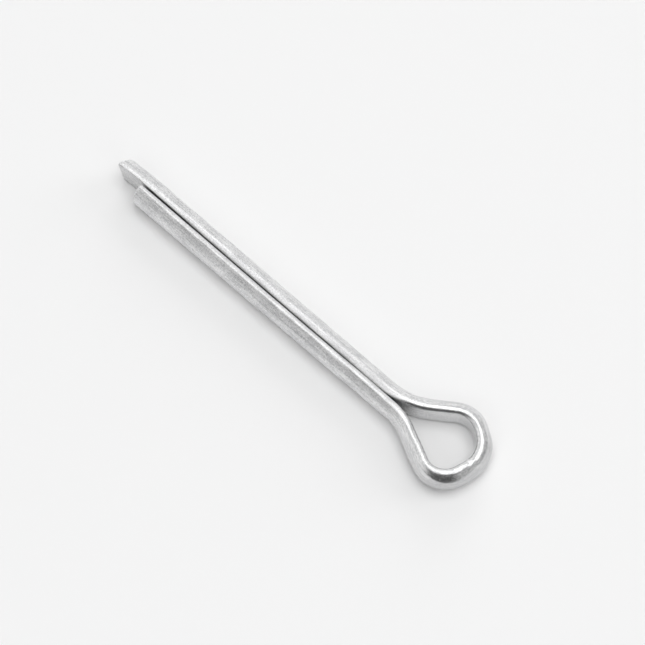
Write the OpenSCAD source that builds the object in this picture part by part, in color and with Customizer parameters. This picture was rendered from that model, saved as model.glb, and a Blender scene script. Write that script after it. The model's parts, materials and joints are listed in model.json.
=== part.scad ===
// Split cotter pin: one length of half-round wire, folded flat to flat into an eye and two legs.
// It lies on its side, as it comes to rest. +X points from the eye to the leg tips, +Y from the
// long leg to the short one, +Z up. The origin is on the axis of the shank, beside the eye.

/* [Wire] */
// Diameter of the round shank that the two legs make together
shank_d = 3.6; // [3.2:0.1:4.2]
// Radius of the two rounded edges of the wire
edge_r = 0.42; // [0.3:0.02:0.44]

/* [Legs] */
// Length of the long leg, from the origin to its tip
long_leg = 38.9; // [30:0.1:60]
// How far the long leg runs straight past the origin, before its bend into the eye
neck_run = 1; // [0.5:0.1:2]
// How much shorter the other leg is
leg_step = 3.5; // [2:0.1:6]
// Gap between the legs, halfway along the shank
leg_gap = 0.16; // [0.12:0.01:0.3]
// Angle by which each leg opens away from the axis, towards its tip
leg_splay = 0.1; // [0:0.01:0.15]
// Length of the end of the long leg that bends towards the short one
tip_run = 3.6; // [2:0.1:5]
// Angle of that bend
tip_turn = 6; // [1:0.5:8]

/* [Eye] */
// Angle at which the long leg's side of the eye leaves the shank
long_side_turn = 35.5; // [30:0.5:40]
// Inner radius of that bend
long_neck_r = 9.5; // [7:0.1:12]
// Straight stretch of the long leg's side
long_side_run = 2.75; // [1:0.05:4]
// Angle at which the short leg's side of the eye leaves the shank
short_side_turn = 27.5; // [24:0.5:32]
// Inner radius of that bend
short_neck_r = 7.9; // [6:0.1:10]
// Turn of the first bend round the end of the eye
first_turn = 65; // [55:1:75]
// Inner radius of the first bend
first_r = 2.5; // [2:0.1:3]
// Turn of the second bend
second_turn = 75; // [60:1:80]
// Inner radius of the second bend
second_r = 3.3; // [2.5:0.1:4]
// Inner radius of the third bend
third_r = 2.2; // [1.8:0.1:2.6]
// Short flat between the first and second bends
first_flat = 0.55; // [0.2:0.05:1]
// Short flat between the second and third bends
second_flat = 1.0; // [0.5:0.05:1.5]

/* [Tip cuts] */
// Angle of the cut at the end of the long leg, seen from above
long_cut_yaw = 14; // [0:1:20]
// Angle of the same cut, seen from the side
long_cut_pitch = 16; // [0:1:20]
// Angle of the cut at the end of the short leg, seen from above
short_cut_yaw = 6; // [0:1:15]
// Chamfer where the outside of each leg meets its cut end
tip_chamfer = 0.35; // [0.1:0.05:0.5]

/* [Hidden] */
$fn = 72;

shank_r = shank_d / 2;
half_gap = leg_gap / 2;
short_leg = long_leg - leg_step;
mid_shank = short_leg / 2;
wire_t = shank_r - half_gap;
// Height of the centres of the rounded edges above the middle of the wire
edge_z = sqrt(pow(shank_r - edge_r, 2) - pow(edge_r + half_gap, 2));
// Angle at which a rounded edge meets the round back, seen from the shank's axis
edge_angle = atan2(edge_z, edge_r + half_gap);
reach = 2 * shank_d;
// Bends are drawn a hair thinner than the straight runs and lap into them, so that they join up
bend_inset = 0.012;
bend_lap = 0.1;

// The wire's flat runs along a chain of straight runs and bends. A state is [x, y, heading].
// A step is ["run", length] or ["bend", inner radius, turn], where a left turn is above zero,
// and the wire's round back is always on the left of the flat.
function centre(s, r, side) = [s[0] - side * r * sin(s[2]), s[1] + side * r * cos(s[2])];
function after_run(s, l) = [s[0] + l * cos(s[2]), s[1] + l * sin(s[2]), s[2]];
function after_bend(s, r, turn) =
    let (side = sign(turn), c = centre(s, r, side), h = s[2] + turn)
    [c[0] + side * r * sin(h), c[1] - side * r * cos(h), h];
function after(s, step) = step[0] == "run" ? after_run(s, step[1]) : after_bend(s, step[1], step[2]);
function state(start, steps, i) = i == 0 ? start : after(state(start, steps, i - 1), steps[i - 1]);

// Distance of each leg's flat from the axis at a given x
function flat_y(x) = half_gap + (x - mid_shank) * tan(leg_splay);

// The eye starts on the long leg's flat and heads away from the legs.
eye_start = [-neck_run, -flat_y(-neck_run), 180 - leg_splay];
third_turn = 180 + long_side_turn + short_side_turn - 2 * leg_splay - first_turn - second_turn;
to_short_side = [
    ["bend", long_neck_r, long_side_turn],
    ["run", long_side_run],
    ["bend", first_r, -first_turn],
    ["run", first_flat],
    ["bend", second_r, -second_turn],
    ["run", second_flat],
    ["bend", third_r, -third_turn]
];
short_side_start = state(eye_start, to_short_side, len(to_short_side));
// The last bend brings the wire from the short side back onto the line of the short leg.
// The side is as long as that needs: neck_end is where the bend ends if the side has no length.
neck_end = after_bend(short_side_start, short_neck_r, short_side_turn);
short_side_run = (flat_y(neck_end[0]) - neck_end[1])
    / (sin(short_side_start[2]) - tan(leg_splay) * cos(short_side_start[2]));
eye_steps = concat(to_short_side, [
    ["run", short_side_run],
    ["bend", short_neck_r, short_side_turn]
]);
eye_end = state(eye_start, eye_steps, len(eye_steps));

// The half-round section: x is the distance from the flat, y the height.
module edge_sector(inset) {
    intersection() {
        translate([edge_r, edge_z]) circle(r = edge_r - inset, $fn = 32);
        polygon([
            [edge_r, edge_z],
            [edge_r + reach * cos(edge_angle), edge_z + reach * sin(edge_angle)],
            [-reach, edge_z + reach * sin(edge_angle)],
            [-reach, edge_z]
        ]);
    }
}

module section(inset = 0) {
    // Round back, concentric with the shank
    intersection() {
        translate([-half_gap, 0]) circle(r = shank_r - inset);
        polygon([
            [edge_r, -edge_z],
            [edge_r + reach * cos(edge_angle), -edge_z - reach * sin(edge_angle)],
            [edge_r + reach * cos(edge_angle), edge_z + reach * sin(edge_angle)],
            [edge_r, edge_z]
        ]);
    }
    translate([inset, -edge_z]) square([edge_r - inset, 2 * edge_z]);
    edge_sector(inset);
    mirror([0, 1]) edge_sector(inset);
}

module run(length) {
    rotate([90, 0, 90]) linear_extrude(length) section();
}

module bend(r, turn) {
    lap = bend_lap / r * 180 / PI;
    swept = abs(turn) + 2 * lap;
    if (turn > 0) {
        translate([0, r, 0]) rotate([0, 0, -90 - lap])
            rotate_extrude(angle = swept) translate([r, 0]) mirror([1, 0]) section(bend_inset);
    } else {
        translate([0, -r, 0]) rotate([0, 0, 90 + turn - lap])
            rotate_extrude(angle = swept) translate([r, 0]) section(bend_inset);
    }
}

module wire(start, steps) {
    for (i = [0 : len(steps) - 1]) {
        s = state(start, steps, i);
        step = steps[i];
        translate([s[0], s[1], 0]) rotate([0, 0, s[2]]) {
            if (step[0] == "run") run(step[1]);
            else bend(step[1], step[2]);
        }
    }
}

// Waste beyond the cut end of a leg that heads along +X, with its back on the left
module tip_waste(yaw, pitch) {
    rotate([0, 0, yaw]) rotate([0, pitch, 0])
        translate([0, -reach, -reach]) cube([reach, 2 * reach, 2 * reach]);
    translate([-tip_chamfer, wire_t, 0]) rotate([0, 0, 45])
        translate([0, -reach, -reach]) cube([reach, 2 * reach, 2 * reach]);
}

// The long leg is drawn with its back on the left of its heading, then mirrored to its own side.
module long_leg() {
    start = [-neck_run, flat_y(-neck_run), leg_splay];
    steps = [
        ["run", neck_run + long_leg - tip_run],
        ["bend", tip_run / (tip_turn * PI / 180), -tip_turn]
    ];
    end = state(start, steps, len(steps));
    mirror([0, 1, 0]) difference() {
        wire(start, steps);
        translate([end[0], end[1], 0]) rotate([0, 0, end[2]]) tip_waste(long_cut_yaw, long_cut_pitch);
    }
}

module short_leg() {
    end = after_run(eye_end, short_leg - eye_end[0]);
    difference() {
        wire(eye_end, [["run", short_leg - eye_end[0]]]);
        translate([end[0], end[1], 0]) rotate([0, 0, end[2]]) tip_waste(short_cut_yaw, 0);
    }
}

module cotter_pin() {
    color("silver") {
        long_leg();
        wire(eye_start, eye_steps);
        short_leg();
    }
}

cotter_pin();
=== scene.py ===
"""A split cotter pin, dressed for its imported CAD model: one length of zinc-plated half-round wire,
folded flat to flat into a teardrop eye and two legs. Everything is in metres, in the frame of the
CAD model. A place on the wire is (s, n, z): s along it from the long leg's tip, n from its flat
towards its round back, and z up."""

import json
import math

import bpy
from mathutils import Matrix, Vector, noise

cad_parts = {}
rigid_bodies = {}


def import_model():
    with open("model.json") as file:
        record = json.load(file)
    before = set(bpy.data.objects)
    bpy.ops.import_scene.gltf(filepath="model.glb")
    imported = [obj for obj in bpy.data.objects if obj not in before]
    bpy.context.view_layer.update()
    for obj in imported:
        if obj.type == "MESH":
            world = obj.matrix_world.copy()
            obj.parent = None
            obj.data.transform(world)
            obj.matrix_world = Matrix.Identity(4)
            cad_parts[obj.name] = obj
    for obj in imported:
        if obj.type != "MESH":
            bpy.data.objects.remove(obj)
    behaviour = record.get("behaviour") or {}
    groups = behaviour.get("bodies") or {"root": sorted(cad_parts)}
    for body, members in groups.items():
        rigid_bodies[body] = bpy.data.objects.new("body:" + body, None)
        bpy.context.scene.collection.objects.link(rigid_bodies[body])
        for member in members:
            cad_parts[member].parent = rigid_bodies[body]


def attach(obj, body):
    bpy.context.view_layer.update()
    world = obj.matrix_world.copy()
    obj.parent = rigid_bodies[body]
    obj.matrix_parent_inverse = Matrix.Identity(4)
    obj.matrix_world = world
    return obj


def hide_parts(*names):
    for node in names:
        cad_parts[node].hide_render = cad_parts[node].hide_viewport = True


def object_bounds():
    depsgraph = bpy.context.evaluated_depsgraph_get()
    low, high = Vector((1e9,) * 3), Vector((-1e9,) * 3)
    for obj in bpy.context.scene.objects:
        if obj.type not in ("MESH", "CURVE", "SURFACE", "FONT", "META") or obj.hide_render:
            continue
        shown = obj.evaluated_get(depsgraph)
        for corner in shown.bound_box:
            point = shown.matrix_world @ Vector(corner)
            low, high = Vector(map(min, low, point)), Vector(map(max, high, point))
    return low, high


for spare in list(bpy.data.objects):
    bpy.data.objects.remove(spare)
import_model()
cad_low, cad_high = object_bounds()

MM = 0.001

# The wire's section: a half-round with two rounded edges
SHANK_R = 1.8 * MM
HALF_GAP = 0.08 * MM
EDGE_R = 0.42 * MM
EDGE_Z = math.sqrt((SHANK_R - EDGE_R) ** 2 - (EDGE_R + HALF_GAP) ** 2)
EDGE_ANGLE = math.degrees(math.atan2(EDGE_Z, EDGE_R + HALF_GAP))
WIRE_T = SHANK_R - HALF_GAP
BACK_SEGMENTS = 40
EDGE_SEGMENTS = 14
FLAT_SEGMENTS = 12
RING_STEP = 0.16 * MM

# The fold, as the flat of the wire runs: from the long leg's tip, round the eye, to the short
# leg's tip. Turns are in degrees.
NECK_RUN = 1.0 * MM
LONG_LEG = 38.9 * MM
SHORT_LEG = 35.4 * MM
SPLAY = 0.1
TIP_RUN = 3.6 * MM
TIP_TURN = 6.0
LONG_SIDE_TURN = 35.5
LONG_NECK_R = 9.5 * MM
LONG_SIDE_RUN = 2.75 * MM
FIRST_TURN = 65.0
FIRST_R = 2.5 * MM
FIRST_FLAT = 0.55 * MM
SECOND_TURN = 75.0
SECOND_R = 3.3 * MM
SECOND_FLAT = 1.0 * MM
THIRD_R = 2.2 * MM
SHORT_SIDE_TURN = 27.5
THIRD_TURN = 180.0 + LONG_SIDE_TURN + SHORT_SIDE_TURN - 2 * SPLAY - FIRST_TURN - SECOND_TURN
SHORT_NECK_R = 7.9 * MM


def unit(degrees):
    """The level direction at an angle to the left of +X."""
    return Vector((math.cos(math.radians(degrees)), math.sin(math.radians(degrees)), 0.0))


def left_of(heading):
    return unit(heading + 90)


def flat_y(x):
    """How far each leg's flat stands from the shank's axis."""
    return HALF_GAP + (x - SHORT_LEG / 2) * math.tan(math.radians(SPLAY))


def bend_centre(place, heading, radius, turn):
    return place + left_of(heading) * math.copysign(radius, turn)


def after(place, heading, step):
    """Where the flat is, and where it heads, after one step of the fold."""
    if step[0] == "run":
        return place + unit(heading) * step[1], heading
    _, radius, turn = step
    centre = bend_centre(place, heading, radius, turn)
    return centre - left_of(heading + turn) * math.copysign(radius, turn), heading + turn


def folded_steps():
    """The start of the fold at the long leg's tip, and its steps."""
    tip_r = TIP_RUN / math.radians(TIP_TURN)
    neck = Vector((-NECK_RUN, -flat_y(-NECK_RUN), 0.0))
    heading = 180.0 - SPLAY
    leg_run = NECK_RUN + LONG_LEG - TIP_RUN
    bend_end = neck - unit(heading) * leg_run
    centre = bend_end - left_of(heading) * tip_r
    tip_heading = heading + TIP_TURN
    tip = centre + left_of(tip_heading) * tip_r
    eye = [
        ("bend", LONG_NECK_R, LONG_SIDE_TURN),
        ("run", LONG_SIDE_RUN),
        ("bend", FIRST_R, -FIRST_TURN),
        ("run", FIRST_FLAT),
        ("bend", SECOND_R, -SECOND_TURN),
        ("run", SECOND_FLAT),
        ("bend", THIRD_R, -THIRD_TURN),
    ]
    place, way = neck, heading
    for step in eye:
        place, way = after(place, way, step)
    # The short side is as long as brings its last bend onto the short leg's line
    end, _ = after(place, way, ("bend", SHORT_NECK_R, SHORT_SIDE_TURN))
    rise = math.sin(math.radians(way)) - math.tan(math.radians(SPLAY)) * math.cos(math.radians(way))
    eye += [("run", (flat_y(end.x) - end.y) / rise), ("bend", SHORT_NECK_R, SHORT_SIDE_TURN)]
    place, way = neck, heading
    for step in eye:
        place, way = after(place, way, step)
    last_run = (SHORT_LEG - place.x) / math.cos(math.radians(way))
    steps = [("bend", tip_r, -TIP_TURN), ("run", leg_run)] + eye + [("run", last_run)]
    return tip, tip_heading, steps


def section_outline():
    """The half-round section as (distance from the flat, height) all the way round."""
    points = []

    def arc(cx, cz, radius, first, last, segments):
        for i in range(segments):
            a = math.radians(first + (last - first) * i / segments)
            points.append((cx + radius * math.cos(a), cz + radius * math.sin(a)))

    arc(-HALF_GAP, 0.0, SHANK_R, -EDGE_ANGLE, EDGE_ANGLE, BACK_SEGMENTS)
    arc(EDGE_R, EDGE_Z, EDGE_R, EDGE_ANGLE, 180, EDGE_SEGMENTS)
    for i in range(FLAT_SEGMENTS):
        points.append((0.0, EDGE_Z - 2 * EDGE_Z * i / FLAT_SEGMENTS))
    arc(EDGE_R, -EDGE_Z, EDGE_R, 180, 360 - EDGE_ANGLE, EDGE_SEGMENTS)
    return points


def edit(obj):
    """Opens one object, alone, in edit mode."""
    bpy.ops.object.mode_set(mode="OBJECT")
    bpy.ops.object.select_all(action="DESELECT")
    obj.select_set(True)
    bpy.context.view_layer.objects.active = obj
    bpy.ops.object.mode_set(mode="EDIT")


def swept_wire():
    """The section swept along the fold. It comes with the start of each step, and how many points
    the wire had before each step and after the last one."""
    outline = section_outline()
    tip, heading, steps = folded_steps()
    bpy.ops.object.select_all(action="DESELECT")
    bpy.ops.mesh.primitive_circle_add(vertices=len(outline), radius=SHANK_R, fill_type="NOTHING")
    wire = bpy.context.object
    wire.name = wire.data.name = "folded_wire"
    side = left_of(heading)
    for vertex, (n, z) in zip(wire.data.vertices, outline):
        vertex.co = tip + side * n + Vector((0, 0, z))
    edit(wire)
    bpy.ops.mesh.select_all(action="SELECT")
    counts, starts = [0], []
    place, way, along = tip, heading, 0.0
    for step in steps:
        starts.append((place, way, along, step))
        if step[0] == "run":
            pieces = max(1, round(step[1] / RING_STEP))
            bpy.ops.mesh.extrude_repeat(steps=pieces, offset=unit(way) * (step[1] / pieces))
            along += step[1]
        else:
            _, radius, turn = step
            length = radius * math.radians(abs(turn))
            outer = length if turn > 0 else length + WIRE_T * math.radians(abs(turn))
            bpy.ops.mesh.spin(
                steps=max(2, round(outer / RING_STEP)),
                angle=math.radians(abs(turn)),
                center=bend_centre(place, way, radius, turn),
                axis=(0, 0, math.copysign(1, -turn)),
            )
            along += length
        place, way = after(place, way, step)
        bpy.ops.object.mode_set(mode="OBJECT")
        counts.append(len(wire.data.vertices))
        bpy.ops.object.mode_set(mode="EDIT")
    bpy.ops.object.mode_set(mode="OBJECT")
    return wire, starts, counts


def fold_wire():
    """The folded wire, with each point's place (s, n, z) and the wire's heading there."""
    wire, starts, counts = swept_wire()
    straight, headings = [], []
    for (start, way, along, step), first, last in zip(starts, counts, counts[1:]):
        for vertex in wire.data.vertices[first:last]:
            gap = vertex.co - start
            if step[0] == "run":
                straight.append((along + gap.dot(unit(way)), gap.dot(left_of(way)), vertex.co.z))
                headings.append(way)
                continue
            _, radius, turn = step
            centre = bend_centre(start, way, radius, turn)
            arm = Vector((vertex.co.x - centre.x, vertex.co.y - centre.y))
            begin = Vector((start.x - centre.x, start.y - centre.y))
            swept = abs(math.atan2(begin.cross(arm), begin.dot(arm)))
            n = (radius - arm.length) * math.copysign(1, turn)
            straight.append((along + radius * swept, n, vertex.co.z))
            headings.append(way + math.copysign(math.degrees(swept), turn))
    return wire, straight, headings


class Value:
    """A shader socket that takes part in Python sums."""

    def __init__(self, tree, socket):
        self.tree = tree
        self.socket = socket

    def __add__(self, other):
        return self.tree.maths("ADD", self, other)

    __radd__ = __add__

    def __sub__(self, other):
        return self.tree.maths("SUBTRACT", self, other)

    def __rsub__(self, other):
        return self.tree.maths("SUBTRACT", other, self)

    def __mul__(self, other):
        return self.tree.maths("MULTIPLY", self, other)

    __rmul__ = __mul__


class Tree:
    """The nodes of one material or of the world."""

    def __init__(self, owner):
        owner.use_nodes = True
        self.tree = owner.node_tree
        self.tree.nodes.clear()

    def make(self, kind, settings=None, inputs=None):
        """One node: its settings come first, then the values or links of its sockets."""
        made = self.tree.nodes.new(kind)
        for name, value in (settings or {}).items():
            setattr(made, name, value)
        for name, value in (inputs or {}).items():
            if isinstance(value, Value):
                self.tree.links.new(value.socket, made.inputs[name])
            else:
                made.inputs[name].default_value = value
        return made

    def node(self, kind, settings=None, inputs=None, out=0):
        return Value(self, self.make(kind, settings, inputs).outputs[out])

    def maths(self, operation, *values):
        return self.node("ShaderNodeMath", {"operation": operation}, dict(enumerate(values)))

    def ramp(self, value, low, high, to_low=0.0, to_high=1.0):
        """A smooth step from one value to another."""
        ends = {"From Min": low, "From Max": high, "To Min": to_low, "To Max": to_high}
        return self.node(
            "ShaderNodeMapRange", {"interpolation_type": "SMOOTHSTEP"}, {"Value": value, **ends}
        )

    def dot(self, vector, fixed):
        return self.node(
            "ShaderNodeVectorMath", {"operation": "DOT_PRODUCT"}, {0: vector, 1: fixed}, out="Value"
        )

    def mix(self, factor, first, second):
        """A colour between two others."""
        a, b = (x if isinstance(x, Value) else (*x, 1.0) for x in (first, second))
        return self.node(
            "ShaderNodeMix", {"data_type": "RGBA"}, {"Factor": factor, 6: a, 7: b}, out=2
        )


def ease(value, low, high):
    """0 below low, 1 above high, smooth between them."""
    t = min(1.0, max(0.0, (value - low) / (high - low)))
    return t * t * (3 - 2 * t)


def bump_at(value, middle, half_width):
    """1 at the middle, falling smoothly to 0 at half_width from it."""
    return 1.0 - ease(abs(value - middle), 0.0, half_width)


# ---- the pin ----
pin, straight, headings = fold_wire()
WIRE_LENGTH = max(p[0] for p in straight)

# Where the wire of the eye begins and ends, each with the stretch over which it eases in or out
EYE_FROM, EYE_FULL = 40.2 * MM, 43.5 * MM
EYE_UNTIL, EYE_GONE = 65.5 * MM, 69.0 * MM
# The eye's wire is thicker inwards, by this share, on its long side and round its end
EYE_SWELL = 0.09
SWELL_UNTIL, SWELL_GONE = 61.5 * MM, 66.0 * MM
# The end of the eye is pressed in a little, and so is the back all round the eye
END_AT, END_REACH, END_SHIFT = 58.3 * MM, 3.0 * MM, 0.11 * MM
EYE_BACK_IN = 0.02 * MM
# The legs are thicker by this share
LEG_SWELL = 0.03
# The seam lies nearer to the short leg, less so at the tips, and it is narrower
SEAM_SHIFT, SEAM_CLOSED = 0.19 * MM, 0.02 * MM
SEAM_AT_TIP, SEAM_FROM, SEAM_FULL = 0.5, 3.0 * MM, 26.0 * MM
# The legs press together beside the eye
PRESS_X, PRESS_REACH, PRESS = 1.5 * MM, 4.5 * MM, 0.035 * MM
# Radius of the rounded edges at places along the wire, both in millimetres
EDGES = (
    (0.0, 0.3),
    (5.0, 0.4),
    (14.0, 0.53),
    (30.0, 0.55),
    (46.0, 0.54),
    (51.5, 0.56),
    (55.0, 0.6),
    (55.7, 0.44),
    (58.5, 0.47),
    (61.0, 0.49),
    (66.0, 0.6),
    (69.0, 0.54),
    (73.0, 0.49),
    (100.0, 0.44),
    (106.0, 0.34),
    (108.0, 0.3),
)
# How square the inner side of each rounded edge is: 1 is round
LONG_SQUARENESS, SHORT_SQUARENESS, EYE_SQUARENESS = 2.6, 2.8, 1.15

# The sheared ends: each cut runs across the wire at an angle, with a chamfer at the back and a
# worn rim
LONG_CUT_YAW, LONG_CUT_PITCH = math.radians(22), math.radians(15.5)
LONG_CUT_TOP = 1.2 * MM
SHORT_CUT_YAW = math.radians(6)
CHAMFER = 0.35 * MM
RIM_R = 0.09 * MM
RIM_HEART = 0.45 * WIRE_T
# The last stretch of the wire gives way to the cut, and its rings crowd towards the face
TIP_REACH = 2.4 * MM
TIP_SQUEEZE = 0.95

# Unevenness of the drawn wire: broad waves and finer lines. Each has a depth, how often it comes
# round the section, and its length along the wire.
WAVE_DEPTH, WAVE_AROUND, WAVE_LENGTH = 0.022 * MM, 2.2, 3.5 * MM
LINE_DEPTH, LINE_AROUND, LINE_LENGTH = 0.008 * MM, 7.0, 1.6 * MM
LINE_START = 5.0
UNEVEN_LIFT = 0.7
EYE_SMOOTHER = 0.6
# Marks and waves go in towards this line inside the wire
HEART = 0.4 * WIRE_T

# Faces that meet at a smaller angle than this, in degrees, are shaded as one surface
SMOOTH_BELOW = 50

# Flats, dents, nicks and long shallow lines: place along the wire, place in its section (from the
# flat, up), half length, half width and depth, all in millimetres
MARKS = (
    (51.9, 1.72, 0.4, 1.7, 1.5, 0.12),
    (55.3, 1.72, 0.4, 2.1, 1.6, 0.2),
    (60.6, 1.72, 0.4, 2.2, 1.6, 0.26),
    (55.8, 0.4, 1.7, 0.35, 0.45, 0.09),
    (57.0, 0.5, 1.7, 0.22, 0.3, 0.05),
    (57.5, 0.5, 1.7, 0.2, 0.25, 0.03),
    (74.6, 1.72, -0.2, 1.0, 0.9, 0.13),
    (76.2, 1.6, 0.3, 0.5, 0.5, 0.06),
    (83.3, 1.72, -0.2, 0.4, 0.8, 0.07),
    (86.6, 1.72, -0.2, 0.35, 0.8, 0.07),
    (35.0, 1.6, 0.8, 0.14, 0.6, 0.03),
    (52.9, 1.5, 0.9, 0.5, 0.5, 0.03),
    (17.0, 0.4, 1.7, 0.8, 0.5, 0.03),
    (30.6, 0.4, 1.7, 1.0, 0.5, 0.035),
    (36.4, 0.4, 1.7, 1.4, 0.6, 0.04),
    (77.5, 0.4, 1.7, 0.9, 0.4, 0.03),
    (81.0, 1.05, 1.2, 14.0, 0.55, 0.035),
    (96.0, 1.2, 1.0, 9.0, 0.6, 0.03),
    (88.0, 1.65, 0.2, 10.0, 0.6, 0.03),
    (20.0, 1.2, 1.05, 15.0, 0.5, 0.025),
)


def in_eye(s):
    """1 in the eye, 0 in the legs."""
    return ease(s, EYE_FROM, EYE_FULL) * (1.0 - ease(s, EYE_UNTIL, EYE_GONE))


def edge_radius(s):
    """The radius of the rounded edges at a place along the wire."""
    for (before, first), (beyond, last) in zip(EDGES, EDGES[1:]):
        if s <= beyond * MM:
            break
    return MM * (first + (last - first) * ease(s, before * MM, beyond * MM))


def edge_centre(radius):
    """The height of the centre of a rounded edge, and the angle at which the edge meets the back."""
    height = math.sqrt((SHANK_R - radius) ** 2 - (radius + HALF_GAP) ** 2)
    return height, math.atan2(height, radius + HALF_GAP)


def rounder(n, z, radius, squareness):
    """A point of the drawn section, moved to where it is with another radius of the edges."""
    top = abs(z)
    old_z, old_angle = edge_centre(EDGE_R)
    new_z, new_angle = edge_centre(radius)
    around = math.atan2(top - old_z, n - EDGE_R)
    if top > old_z and around > old_angle:
        share = (around - old_angle) / (math.pi - old_angle)
        turn = new_angle + share * (math.pi - new_angle)
        n, top = radius + radius * math.cos(turn), new_z + radius * math.sin(turn)
        if n < radius:
            n = radius * (n / radius) ** squareness
    elif n > 0.5 * EDGE_R:
        turn = math.atan2(top, n + HALF_GAP) * new_angle / old_angle
        n, top = SHANK_R * math.cos(turn) - HALF_GAP, SHANK_R * math.sin(turn)
    else:
        top *= new_z / old_z
    top *= min(1.0, (old_z + EDGE_R) / (new_z + radius))
    return n, math.copysign(top, z)


def cut_in(n, z, long_leg):
    """How far in from the wire's end its cut face lies."""
    if long_leg:
        face = n * math.tan(LONG_CUT_YAW) + (LONG_CUT_TOP - z) * math.tan(LONG_CUT_PITCH)
    else:
        face = n * math.tan(SHORT_CUT_YAW)
    return max(0.0, face, n - (WIRE_T - CHAMFER))


def dented(s, n, z):
    """How deep the marks and the drawn wire's unevenness go at a point."""
    deep = 0.0
    for at, from_flat, up, half_length, half_width, depth in MARKS:
        if abs(s - at * MM) < half_length * MM:
            apart = math.hypot(n - from_flat * MM, z - up * MM)
            nearness = bump_at(s, at * MM, half_length * MM) * bump_at(apart, 0.0, half_width * MM)
            deep += depth * MM * nearness
    around = math.atan2(z, n - HEART)
    ring = Vector((math.cos(around), math.sin(around), 0.0))
    waves = noise.noise(ring * WAVE_AROUND + Vector((0, 0, s / WAVE_LENGTH)))
    lines = noise.noise(ring * LINE_AROUND + Vector((LINE_START, LINE_START, s / LINE_LENGTH)))
    uneven = WAVE_DEPTH * max(0.0, UNEVEN_LIFT + waves) + LINE_DEPTH * max(0.0, UNEVEN_LIFT + lines)
    return deep + uneven * (1.0 - EYE_SMOOTHER * in_eye(s))


def form(s, n, z):
    """How far a point of the folded wire moves: along it, away from the flat, and up."""
    eye = in_eye(s)
    on_long_leg = s < 0.5 * WIRE_LENGTH
    square = LONG_SQUARENESS if on_long_leg else SHORT_SQUARENESS
    square += (EYE_SQUARENESS - square) * eye
    new_n, new_z = rounder(n, z, edge_radius(s), square)
    # The thickness of the wire and the place of the seam
    inner = 1.0 - new_n / WIRE_T
    new_n -= EYE_SWELL * eye * (1.0 - ease(s, SWELL_UNTIL, SWELL_GONE)) * WIRE_T * inner
    new_n -= END_SHIFT * bump_at(s, END_AT, END_REACH)
    new_n += LEG_SWELL * (1.0 - eye) * new_n
    side = -1.0 if on_long_leg else 1.0
    tip = min(s, WIRE_LENGTH - s)
    from_tip = SEAM_AT_TIP + (1.0 - SEAM_AT_TIP) * ease(tip, SEAM_FROM, SEAM_FULL)
    new_n += side * SEAM_SHIFT * (1.0 - eye) * inner * from_tip
    new_n -= SEAM_CLOSED * (1.0 - eye) * inner
    leg = LONG_LEG if on_long_leg else SHORT_LEG
    new_n -= PRESS * inner * bump_at(leg - tip, PRESS_X, PRESS_REACH)
    new_n -= EYE_BACK_IN * eye * n / WIRE_T
    # Marks and waves
    deep = dented(s, n, z)
    reach = math.hypot(n - HEART, z)
    new_n -= deep * (n - HEART) / reach
    new_z -= deep * z / reach
    # The cut and its worn rim
    away = tip
    if tip < TIP_REACH:
        left = 1.0 - tip / TIP_REACH
        away = tip - TIP_SQUEEZE * tip * left * left
        worn = 0.0
        if away < RIM_R:
            worn = RIM_R - math.sqrt(RIM_R**2 - (RIM_R - away) ** 2)
        new_n += (RIM_HEART - new_n) * worn / RIM_HEART
        new_z -= new_z * worn / SHANK_R
        away += cut_in(n, z, on_long_leg) * (1.0 - away / TIP_REACH)
    return -side * (away - tip), new_n - n, new_z - z


moves = [form(s, n, z) for s, n, z in straight]
for vertex, (ds, dn, dz), heading in zip(pin.data.vertices, moves, headings):
    vertex.co += unit(heading) * ds + left_of(heading) * dn + Vector((0.0, 0.0, dz))

# Both ends are closed
edit(pin)
bpy.ops.mesh.select_all(action="DESELECT")
bpy.ops.mesh.select_non_manifold()
bpy.ops.mesh.edge_face_add()
bpy.ops.mesh.select_all(action="SELECT")
bpy.ops.mesh.normals_make_consistent(inside=False)
bpy.ops.object.mode_set(mode="OBJECT")
bpy.ops.object.shade_smooth_by_angle(angle=math.radians(SMOOTH_BELOW))

# The finish follows the wire as it was drawn, so each point keeps its place in millimetres
drawn_place = pin.data.attributes.new("drawn_place", "FLOAT_VECTOR", "POINT")
for item, (s, n, z), (ds, dn, dz) in zip(drawn_place.data, straight, moves):
    item.vector = ((s + ds) / MM, (n + dn) / MM, (z + dz) / MM)


# ---- its finish ----
# PALE and MOTTLED bound the wire's own mottled tone; the third grey stands for the pits and for the
# painted shade
PALE, MOTTLED, PITS_AND_SHADE_GREY = (0.96, 0.96, 0.96), (0.57, 0.573, 0.58), (0.36, 0.36, 0.365)
RELIEF = 0.000018


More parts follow.
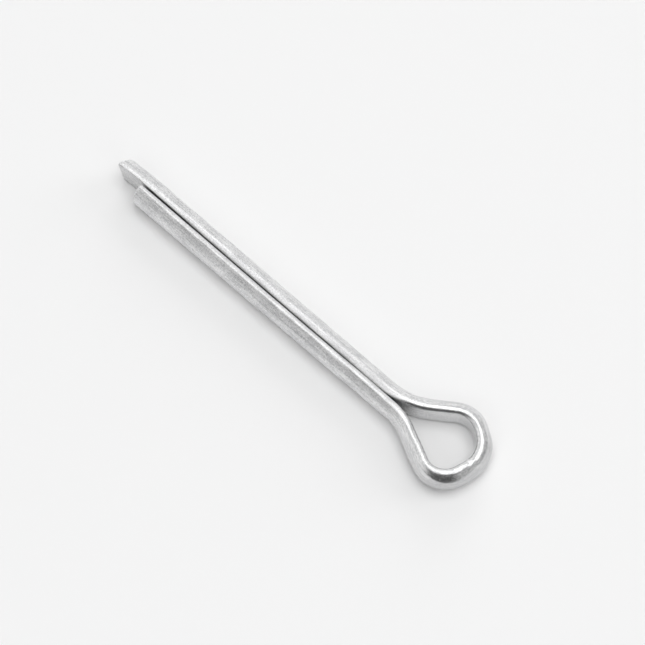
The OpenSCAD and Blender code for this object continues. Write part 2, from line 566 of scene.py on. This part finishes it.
def plated_steel():
    """Zinc-plated drawn wire: mottled and pitted on the legs, smoother where it was bent, darker and
    a little rougher near the flats on the legs, where painted shade dims their highlights, and
    darker on the round back of the eye's end, where painted shade dims what it mirrors."""
    material = bpy.data.materials.new("zinc_plated_steel")
    t = Tree(material)
    spot = t.node("ShaderNodeAttribute", {"attribute_name": "drawn_place"}, out="Vector")
    axes = t.make("ShaderNodeSeparateXYZ", {}, {"Vector": spot})
    along, from_flat = (Value(t, axes.outputs[i]) for i in (0, 1))

    def noise_at(scale, detail=3.0, rough=0.55):
        """A noise with so many patches to the millimetre along the wire, from its flat, and up."""
        place = t.node("ShaderNodeVectorMath", {"operation": "MULTIPLY"}, {0: spot, 1: scale})
        fineness = {"Scale": 1.0, "Detail": detail, "Roughness": rough}
        return t.node("ShaderNodeTexNoise", {}, {"Vector": place, **fineness})

    def stretch(start, full, until, gone):
        """1 on one stretch of the wire, 0 on the rest."""
        return t.ramp(along, start, full) * t.ramp(along, until, gone, 1.0, 0.0)

    grain = noise_at((5.2, 7.5, 7.5), 4.0, 0.8)
    lines = noise_at((0.3, 6.0, 6.0))
    cloud = noise_at((0.55, 1.6, 1.6), 2.0)
    pits = noise_at((4.5, 6.0, 6.0), 2.0)

    # Where each look lies
    bent = stretch(40.5, 45.0, 65.0, 70.0)
    scuffed = stretch(31.0, 34.0, 38.5, 41.5)
    # Painted shade: the colour darkens on the round back of the eye's end, dimming the floor that it
    # mirrors
    end_back_shade = stretch(50.5, 53.0, 58.5, 62.0) * t.ramp(from_flat, 1.1, 1.45)
    short_leg = t.ramp(along, 64.0, 72.0)
    near_tip = t.ramp(along, 2.0, 12.0, 1.0, 0.0) + t.ramp(along, 98.0, 107.0)
    # Painted shade: the base colour darkens on the legs' flanks beside the seam, near the flats,
    # dimming their highlights; the same mask also roughens them a little
    seam_shade_up_to = from_flat - 0.18 * short_leg + 0.15 * near_tip
    seam_side_shade = t.ramp(seam_shade_up_to, 0.28, 0.42, 1.0, 0.0) * (1.0 - bent)
    worn = t.ramp(grain * 0.4 + lines * 0.6, 0.38, 0.62)
    pitted = t.ramp(pits, 0.66, 0.74) * (1.0 - 0.6 * bent)

    mottle = t.ramp(grain * 0.58 + lines * 0.28 + cloud * 0.14, 0.41, 0.59) * (1.0 - 0.22 * bent)
    # Real pits, plus painted shade beside the seam and on the back of the eye's end
    pits_and_shade = pitted * 0.5 + seam_side_shade * (0.16 + 0.08 * short_leg) + end_back_shade * 0.38
    colour = t.mix(pits_and_shade, t.mix(mottle, MOTTLED, PALE), PITS_AND_SHADE_GREY)
    leg_rough = 0.27 + 0.06 * seam_side_shade + 0.2 * worn + 0.12 * scuffed
    rough = leg_rough * (1.0 - bent) + (0.16 + 0.1 * worn) * bent
    height = grain * (1.0 - 0.85 * bent) + lines * (0.7 - 0.5 * bent) - pitted * 0.8
    relief = {"Strength": 1.0, "Distance": RELIEF, "Height": height}
    normal = t.node("ShaderNodeBump", {}, relief)
    surface = {"Base Color": colour, "Metallic": 1.0, "Roughness": rough, "Normal": normal}
    shader = t.node("ShaderNodeBsdfPrincipled", {}, surface)
    t.make("ShaderNodeOutputMaterial", {}, {"Surface": shader})
    return material


pin.data.materials.append(plated_steel())

# ---- the studio ----
VIEW_TURN, VIEW_RISE = 42.824, 67.0
AIM = Vector((9.693, -1.749, 0.0)) * MM
CAMERA_AWAY = 1.00334
SENSOR, LENS = 36.0, 506.67
CLIP_NEAR, CLIP_FAR = 0.1, 20.0
FRONT = Vector((-math.sin(math.radians(VIEW_TURN)), math.cos(math.radians(VIEW_TURN)), 0.0))
RIGHT = Vector((-math.cos(math.radians(VIEW_TURN)), -math.sin(math.radians(VIEW_TURN)), 0.0))
UP = Vector((0.0, 0.0, 1.0))

# Round soft patches of the sky that the metal mirrors: turn, rise, and the angles from their
# middle where they end and where they are full. Angles are in degrees.
CEILING_PANEL, PANEL_GLOW = (110, 80, 33, 20), 0.95
SIDE_SHADE, SHADE_DEPTH = (106, 0, 50, 25), 0.15
# The dark wedge behind the camera: the turn of its middle, half its width where it is full and
# where it ends, and how much wider it gets higher up
WEDGE_TURN, WEDGE_FULL, WEDGE_END, WEDGE_WIDENING = -12, 24, 54, 20
WEDGE_DEPTH = 0.8
BACKDROP = 0.9

# Lamps that shape the shadows: name, turn and rise, half width as seen from the pin, and share of
# the floor's light
LAMPS_AWAY = 3.0
LAMPS = (
    ("overhead_lamp", 90, 87, 26, 0.49),
    ("right_lamp", 98, 50, 26, 0.096),
    ("back_lamp", 174, 50, 26, 0.096),
    ("low_right_lamp", 105, 19, 17, 0.068),
    ("low_back_lamp", 169, 19, 17, 0.068),
    ("fill_lamp", -40, 48, 14, 0.072),
    ("front_lamp", 30, 34, 20, 0.045),
)
FLOOR_SIZE, FLOOR_SHADE = 4.0, 0.9


def toward(turn, rise):
    """The direction at an angle to the right of the front and above the floor."""
    flat = FRONT * math.cos(math.radians(turn)) + RIGHT * math.sin(math.radians(turn))
    return flat * math.cos(math.radians(rise)) + UP * math.sin(math.radians(rise))


def studio():
    """The world: what the metal mirrors, what it throws on the floor, and the plain backdrop."""
    world = bpy.data.worlds.new("studio")
    bpy.context.scene.world = world
    t = Tree(world)
    way = t.node("ShaderNodeTexCoord", out="Generated")
    across, ahead, up = (t.dot(way, axis) for axis in (RIGHT, FRONT, UP))

    def patch(turn, rise, end, full):
        """1 inside a round soft patch of the sky, 0 outside it."""
        facing = t.dot(way, toward(turn, rise))
        return t.ramp(facing, math.cos(math.radians(end)), math.cos(math.radians(full)))

    turn = t.maths("ARCTAN2", across, ahead)
    off = t.maths("ABSOLUTE", turn - math.radians(WEDGE_TURN))
    widening = t.ramp(up, 0.55, 0.8, 0.0, math.radians(WEDGE_WIDENING))
    wedge = t.ramp(off - widening, math.radians(WEDGE_FULL), math.radians(WEDGE_END), 1.0, 0.0)
    dark = wedge * t.ramp(up, 0.84, 0.89, 1.0, 0.0)
    sky = 0.75 - 0.25 * ahead - 0.1 * across
    sky = sky + PANEL_GLOW * patch(*CEILING_PANEL) - SHADE_DEPTH * patch(*SIDE_SHADE)
    reflected = sky * (1.0 - WEDGE_DEPTH * dark)
    # Light that reaches the floor by way of the metal, and straight from the sky
    bounced = 0.66 - 0.5 * t.dot(way, toward(137, 0))
    cast = 0.08

    path = t.make("ShaderNodeLightPath")
    rays = ("Is Camera Ray", "Is Glossy Ray", "Diffuse Depth")
    camera, glossy, bounces = (Value(t, path.outputs[name]) for name in rays)
    first = t.maths("LESS_THAN", bounces, 0.5)
    mirrored = reflected * first + bounced * (1.0 - first)
    lit = mirrored * glossy + cast * (1.0 - glossy)
    strength = lit * (1.0 - camera) + BACKDROP * camera
    glow = t.node("ShaderNodeBackground", {}, {"Color": (1, 1, 1, 1), "Strength": strength})
    t.make("ShaderNodeOutputWorld", {}, {"Surface": glow})


def soft_lamp(name, turn, rise, half_width, share):
    """A round lamp that gives the floor a share of its light and shows in no reflection."""
    way = toward(turn, rise)
    size = LAMPS_AWAY * math.tan(math.radians(half_width))
    spread = math.sin(math.radians(half_width)) ** 2
    shine = share / (spread * math.sin(math.radians(rise)))
    light = bpy.data.lights.new(name, "AREA")
    light.shape = "DISK"
    light.size = 2 * size
    light.energy = shine * math.pi * math.pi * size**2
    lamp = bpy.data.objects.new(name, light)
    lamp.location = way * LAMPS_AWAY
    lamp.rotation_euler = (-way).to_track_quat("-Z", "Y").to_euler()
    lamp.visible_camera = False
    lamp.visible_glossy = False
    bpy.context.scene.collection.objects.link(lamp)


def pale_floor():
    """The matt floor under the pin."""
    bpy.ops.object.select_all(action="DESELECT")
    bpy.ops.mesh.primitive_plane_add(size=FLOOR_SIZE, location=(0, 0, cad_low.z))
    floor = bpy.context.object
    floor.name = "floor"
    paint = bpy.data.materials.new("pale_floor")
    t = Tree(paint)
    shade = (FLOOR_SHADE, FLOOR_SHADE, FLOOR_SHADE, 1.0)
    surface = {"Base Color": shade, "Roughness": 1.0, "Specular IOR Level": 0.0}
    matt = t.node("ShaderNodeBsdfPrincipled", {}, surface)
    t.make("ShaderNodeOutputMaterial", {}, {"Surface": matt})
    floor.data.materials.append(paint)
    return floor


def set_camera():
    view = bpy.data.cameras.new("camera")
    view.sensor_width = SENSOR
    view.lens = LENS
    view.clip_start, view.clip_end = CLIP_NEAR, CLIP_FAR
    camera = bpy.data.objects.new("camera", view)
    bpy.context.scene.collection.objects.link(camera)
    sight = toward(0, VIEW_RISE)
    camera.location = AIM + sight * CAMERA_AWAY
    camera.rotation_euler = (-sight).to_track_quat("-Z", "Y").to_euler()
    bpy.context.scene.camera = camera


studio()
for lamp in LAMPS:
    soft_lamp(*lamp)
floor = pale_floor()
set_camera()
bpy.context.scene.view_settings.view_transform = "Standard"

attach(pin, "root")
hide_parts("cotter_pin")
